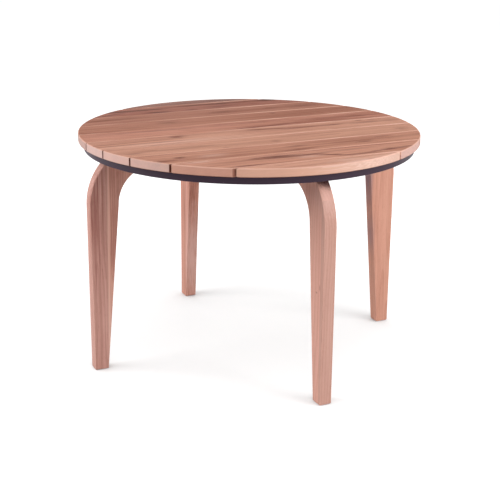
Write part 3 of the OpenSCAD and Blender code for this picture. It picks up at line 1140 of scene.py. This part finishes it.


# Each board from the front has its tone, the tones of its left and right sawn ends, the colour of
# the painted shade in its gaps and on its underside, a shift of the heart along and across the
# board in metres, and the depth of its streaks. Then come its knots, flames and pale sapwood:
# middle x and y and reach x and y in millimetres, slope, and depth of colour
BOARDS = (
    (
        (208, 153, 129), (222, 174, 152), (218, 183, 167), PALE_GAP_SHADE, (1.84, -0.03), 0.35,
        (270, -545, 330, 60, 0, -0.85), (60, -500, 190, 12, 0, 0.15), (-145, -497, 24, 9, 0, 0.35),
    ),
    (
        (198, 141, 117), (212, 160, 142), (211, 176, 167), PALE_GAP_SHADE, (7.33, -0.015), 0.6,
        (-100, -402, 104, 25, 0, 1.3), (-175, -400, 52, 13, 0, 0.5), (0, -408, 90, 13, 0, 1.0),
        (58, -434, 60, 12, -0.5, 1.3), (150, -457, 96, 11, 0, 0.8), (200, -449, 60, 11, 0.15, 0.9),
        (258, -437, 54, 15, 0.1, 1.3), (326, -427, 66, 12, 0.15, 0.75),
        (140, -396, 140, 11, 0, 0.5), (-222, -465, 70, 10, 0, 1.1), (-10, -434, 56, 16, 0, -0.35),
        (-325, -372, 60, 12, 0, -0.5),
    ),
    (
        (197, 140, 115), (220, 184, 174), (190, 152, 140), DARK_GAP_SHADE, (1.84, -0.03), 0.6,
        (-364, -300, 26, 16, 0, 1.0), (-430, -325, 50, 13, 0, 0.9), (-330, -262, 40, 10, 0, 0.25),
        (25, -290, 50, 19, 0, 0.6), (0, -336, 84, 15, 0.1, 0.65), (250, -315, 46, 17, 0, 0.7),
        (200, -298, 150, 26, 0, 0.25), (330, -268, 80, 12, 0, 0.7), (-260, -310, 66, 26, 0, -0.25),
    ),
    (
        (203, 148, 123), (220, 185, 176), (218, 184, 180), DARK_GAP_SHADE, (0, 0), 0.4,
        (-465, -203, 44, 15, 0, 0.55), (-235, -178, 110, 10, 0, 0.25), (-185, -228, 22, 9, 0, 0.3),
        (-5, -205, 24, 22, 0, 0.4), (458, -188, 44, 25, 0, 0.45),
    ),
    (
        (208, 152, 127), (216, 187, 180), (216, 187, 180), DARK_GAP_SHADE, (0, 0), 0.55,
        (-265, -29, 40, 21, 0, 1.0), (20, -22, 48, 12, -0.15, 1.0), (88, -35, 62, 10, -0.2, 0.95),
        (160, -44, 74, 13, 0, 0.6), (240, -49, 120, 11, 0, 0.45), (292, -49, 32, 8, 0, 0.6),
        (400, -18, 28, 9, 0, 0.8), (448, -22, 44, 9, 0, 0.5), (415, -52, 84, 17, 0, 0.55),
        (500, -50, 40, 40, 0, 0.25), (-280, -95, 320, 34, 0, -0.25),
    ),
    (
        (192, 131, 108), (192, 164, 157), (220, 182, 169), DARK_GAP_SHADE, (3.93, -0.05), 0.55,
        (-290, 83, 260, 13, 0, 0.5), (40, 85, 150, 13, 0, 0.45), (310, 60, 130, 24, -0.08, 0.3),
        (450, 53, 90, 14, 0, 0.5), (90, 21, 180, 13, 0.08, 1.0), (470, 14, 56, 9, 0, 0.35),
    ),
    (
        (172, 113, 89), (192, 160, 150), (220, 182, 169), DARK_GAP_SHADE, (0, 0), 0.4,
        (-200, 195, 66, 34, 0, 0.5), (-350, 157, 90, 13, 0, 0.4), (190, 210, 18, 16, 0.6, 0.5),
    ),
    (
        (173, 115, 92), (205, 165, 152), (210, 170, 158), DARK_GAP_SHADE, (3.93, -0.05), 0.45,
        (-320, 312, 150, 19, 0, 0.45), (35, 298, 80, 23, 0, 0.5), (230, 300, 56, 13, 0, 0.45),
        (350, 298, 120, 34, 0, 0.4),
    ),
    (
        (165, 105, 85), (200, 160, 146), (200, 160, 146), DARK_GAP_SHADE, (5.53, 0.01), 0.55,
        (-290, 430, 92, 19, 0, 1.6), (-195, 432, 104, 17, 0, 1.5), (-340, 388, 80, 13, 0.3, 0.9),
        (-165, 377, 80, 15, 0, 1.2), (-40, 381, 36, 13, 0, 0.7), (75, 402, 90, 24, 0, 0.6),
        (50, 449, 260, 16, 0, 1.1), (288, 452, 64, 30, 0, 1.8), (205, 402, 22, 13, 0, 0.4),
    ),
    (
        (157, 112, 98), (200, 160, 146), (200, 160, 146), DARK_GAP_SHADE, (7.33, -0.015), 0.4,
        (-30, 512, 60, 14, 0, 0.4), (120, 512, 130, 26, -0.15, 0.55), (290, 466, 50, 16, 0, 0.6),
    ),
)
for number, (middle, board) in enumerate(zip(SLAT_MIDDLES, BOARDS), 1):
    tone, left_rim, right_rim, gap_and_underside_shade, (along, across), streaks, *marks = board
    figures_and_painted_light = [
        ((x * MM, y * MM, TOP_HEIGHT), (reach_x * MM, reach_y * MM, FIGURE_DEPTH), slope, depth)
        for x, y, reach_x, reach_y, slope, depth in marks
    ]
    # The four factors of the number only make each board differ from the next
    heart = (
        HEART_STEP * number + along,
        middle + HEART_SWAY * sin(2.3 * number) + across,
        HEART_HEIGHT - HEART_RISE * cos(1.7 * number),
    )
    turn = (0, GRAIN_DIP * sin(1.3 * number), GRAIN_SLANT * cos(2.1 * number))
    wood = wood_material(
        "oiled_wood_slat_%02d" % number,
        shaded(tone, PALE_SHARES),
        shaded(tone, DEEP_SHARES),
        heart,
        turn,
        ring_width=0.009,
        streak_depth=streaks,
        fibre_depth=0.4,
        figures_and_painted_light=figures_and_painted_light,
        figure_and_shade_colour=shaded(tone, FIGURE_SHARES),
        sap_and_light_colour=SLAT_SAP_COLOUR,
        arris_wear_and_highlight=SLAT_ARRIS_WEAR_AND_HIGHLIGHT,
        arris_share=0.8,
        shine=0.03,
        ragged=2.4,
        slat_colours=(linear(*left_rim), linear(*right_rim), gap_and_underside_shade),
    )
    make_piece(slat_mesh(middle), "board_%02d" % number, wood, "slat_%02d" % number)


# The floor: a plain white studio floor. The camera sees it white, with the soft shadows of
# the top and the legs, and it bounces plain light up to the legs.

FLOOR_SIZE = 40.0
FLOOR_WHITE = (0.95, 0.95, 0.95, 1)
LAMP_SHARE = 0.5
DEEPEST_SHADOW = 0.03
SHADOW_REACH = 3.0
SHADOW_SAMPLES = 8


def plainly_seen(tree, path):
    """1 for rays from the camera, from polished parts and through glass, 0 for other light."""
    seen = maths(tree, "MAXIMUM", path["Is Camera Ray"], path["Is Glossy Ray"])
    return maths(tree, "MAXIMUM", seen, path["Is Transmission Ray"])


bm = bmesh.new()
bmesh.ops.create_grid(bm, x_segments=1, y_segments=1, size=FLOOR_SIZE / 2)
mesh = bpy.data.meshes.new("studio_floor")
bm.to_mesh(mesh)
bm.free()
floor = bpy.data.objects.new("studio_floor", mesh)
bpy.context.scene.collection.objects.link(floor)
material, tree, shader = new_material("white_floor")
tree.nodes.remove(shader)
path = add(tree, "ShaderNodeLightPath").outputs
plain = add(tree, "ShaderNodeBsdfDiffuse", {"Color": FLOOR_WHITE}).outputs[0]
share = maths(tree, "MULTIPLY", path["Is Camera Ray"], LAMP_SHARE)
lit = add(tree, "ShaderNodeBsdfDiffuse", {"Color": share}).outputs[0]
reach = {"Distance": SHADOW_REACH}
sky = add(tree, "ShaderNodeAmbientOcclusion", reach, samples=SHADOW_SAMPLES).outputs["AO"]
shade = spread(tree, sky, 0.0, 1.0, DEEPEST_SHADOW, 1.0)
shade = maths(tree, "MAXIMUM", shade, maths(tree, "SUBTRACT", 1.0, path["Is Camera Ray"]))
glow = add(tree, "ShaderNodeEmission", {"Color": (1, 1, 1, 1), "Strength": shade}).outputs[0]
shown = add(tree, "ShaderNodeAddShader", {0: lit, 1: glow}).outputs[0]
inputs = {0: plainly_seen(tree, path), 1: plain, 2: shown}
both = add(tree, "ShaderNodeMixShader", inputs).outputs[0]
output = next(node for node in tree.nodes if node.type == "OUTPUT_MATERIAL")
tree.links.new(both, output.inputs["Surface"])
mesh.materials.append(material)


# The light: tall soft lamps at the camera's left and right, weaker ones in front, overhead and
# behind, and a faint white room, which the camera and polished parts see as plain white.

ROOM_LIGHT = 0.03
TABLE_HALF_HEIGHT = 0.4
LAMP_DISTANCE = 4.5
LAMP_WIDTH = 2.6
LAMP_TALLNESS = 3.2
# Degrees round from the camera, degrees up, watts
SOFT_LAMPS = {
    "left_lamp": (-80, 26, 148),
    "right_lamp": (64, 26, 140),
    "front_lamp": (25, 20, 22),
    "overhead_lamp": (8, 64, 45),
    "back_lamp": (-160, 40, 25),
}
CAMERA_ROUND = radians(25.56)

world = bpy.data.worlds.new("studio")
world.use_nodes = True
tree = world.node_tree
seen = plainly_seen(tree, add(tree, "ShaderNodeLightPath").outputs)
background = tree.nodes["Background"]
background.inputs["Color"].default_value = (1, 1, 1, 1)
tree.links.new(spread(tree, seen, 0, 1, ROOM_LIGHT, 1.0), background.inputs["Strength"])
bpy.context.scene.world = world

for name, (around, up, power) in SOFT_LAMPS.items():
    light = bpy.data.lights.new(name, "AREA")
    light.shape = "RECTANGLE"
    light.size = LAMP_WIDTH
    light.size_y = LAMP_TALLNESS
    light.energy = power
    lamp = bpy.data.objects.new(name, light)
    bpy.context.scene.collection.objects.link(lamp)
    bearing, rise = radians(-90 + around) - CAMERA_ROUND, radians(up)
    toward = Vector((cos(bearing) * cos(rise), sin(bearing) * cos(rise), sin(rise)))
    lamp.location = Vector((0, 0, TABLE_HALF_HEIGHT)) + toward * LAMP_DISTANCE
    lamp.rotation_euler = toward.to_track_quat("Z", "Y").to_euler()


# The camera: 3.6 m from the table's middle and 1.48 m above the floor, turned a little to the
# side. It was fitted to the rim, the hoop and the feet in the photograph.

CAMERA_DISTANCE = 3.598
CAMERA_HEIGHT = 1.479
CAMERA_ASIDE = radians(0.095)
CAMERA_DOWN = radians(17.683)
CAMERA_TILT = radians(0.551)
# Both in millimetres, as Blender takes them
FOCAL_LENGTH = 81.08
SENSOR_WIDTH = 36.0

lens = bpy.data.cameras.new("camera")
lens.lens = FOCAL_LENGTH
lens.sensor_width = SENSOR_WIDTH
camera = bpy.data.objects.new("camera", lens)
bpy.context.scene.collection.objects.link(camera)
camera.matrix_world = (
    Matrix.Rotation(-CAMERA_ROUND, 4, "Z")
    @ Matrix.Translation((0, -CAMERA_DISTANCE, CAMERA_HEIGHT))
    @ Matrix.Rotation(-CAMERA_ASIDE, 4, "Z")
    @ Matrix.Rotation(radians(90) - CAMERA_DOWN, 4, "X")
    @ Matrix.Rotation(CAMERA_TILT, 4, "Z")
)
bpy.context.scene.camera = camera
bpy.context.scene.view_settings.view_transform = "Standard"
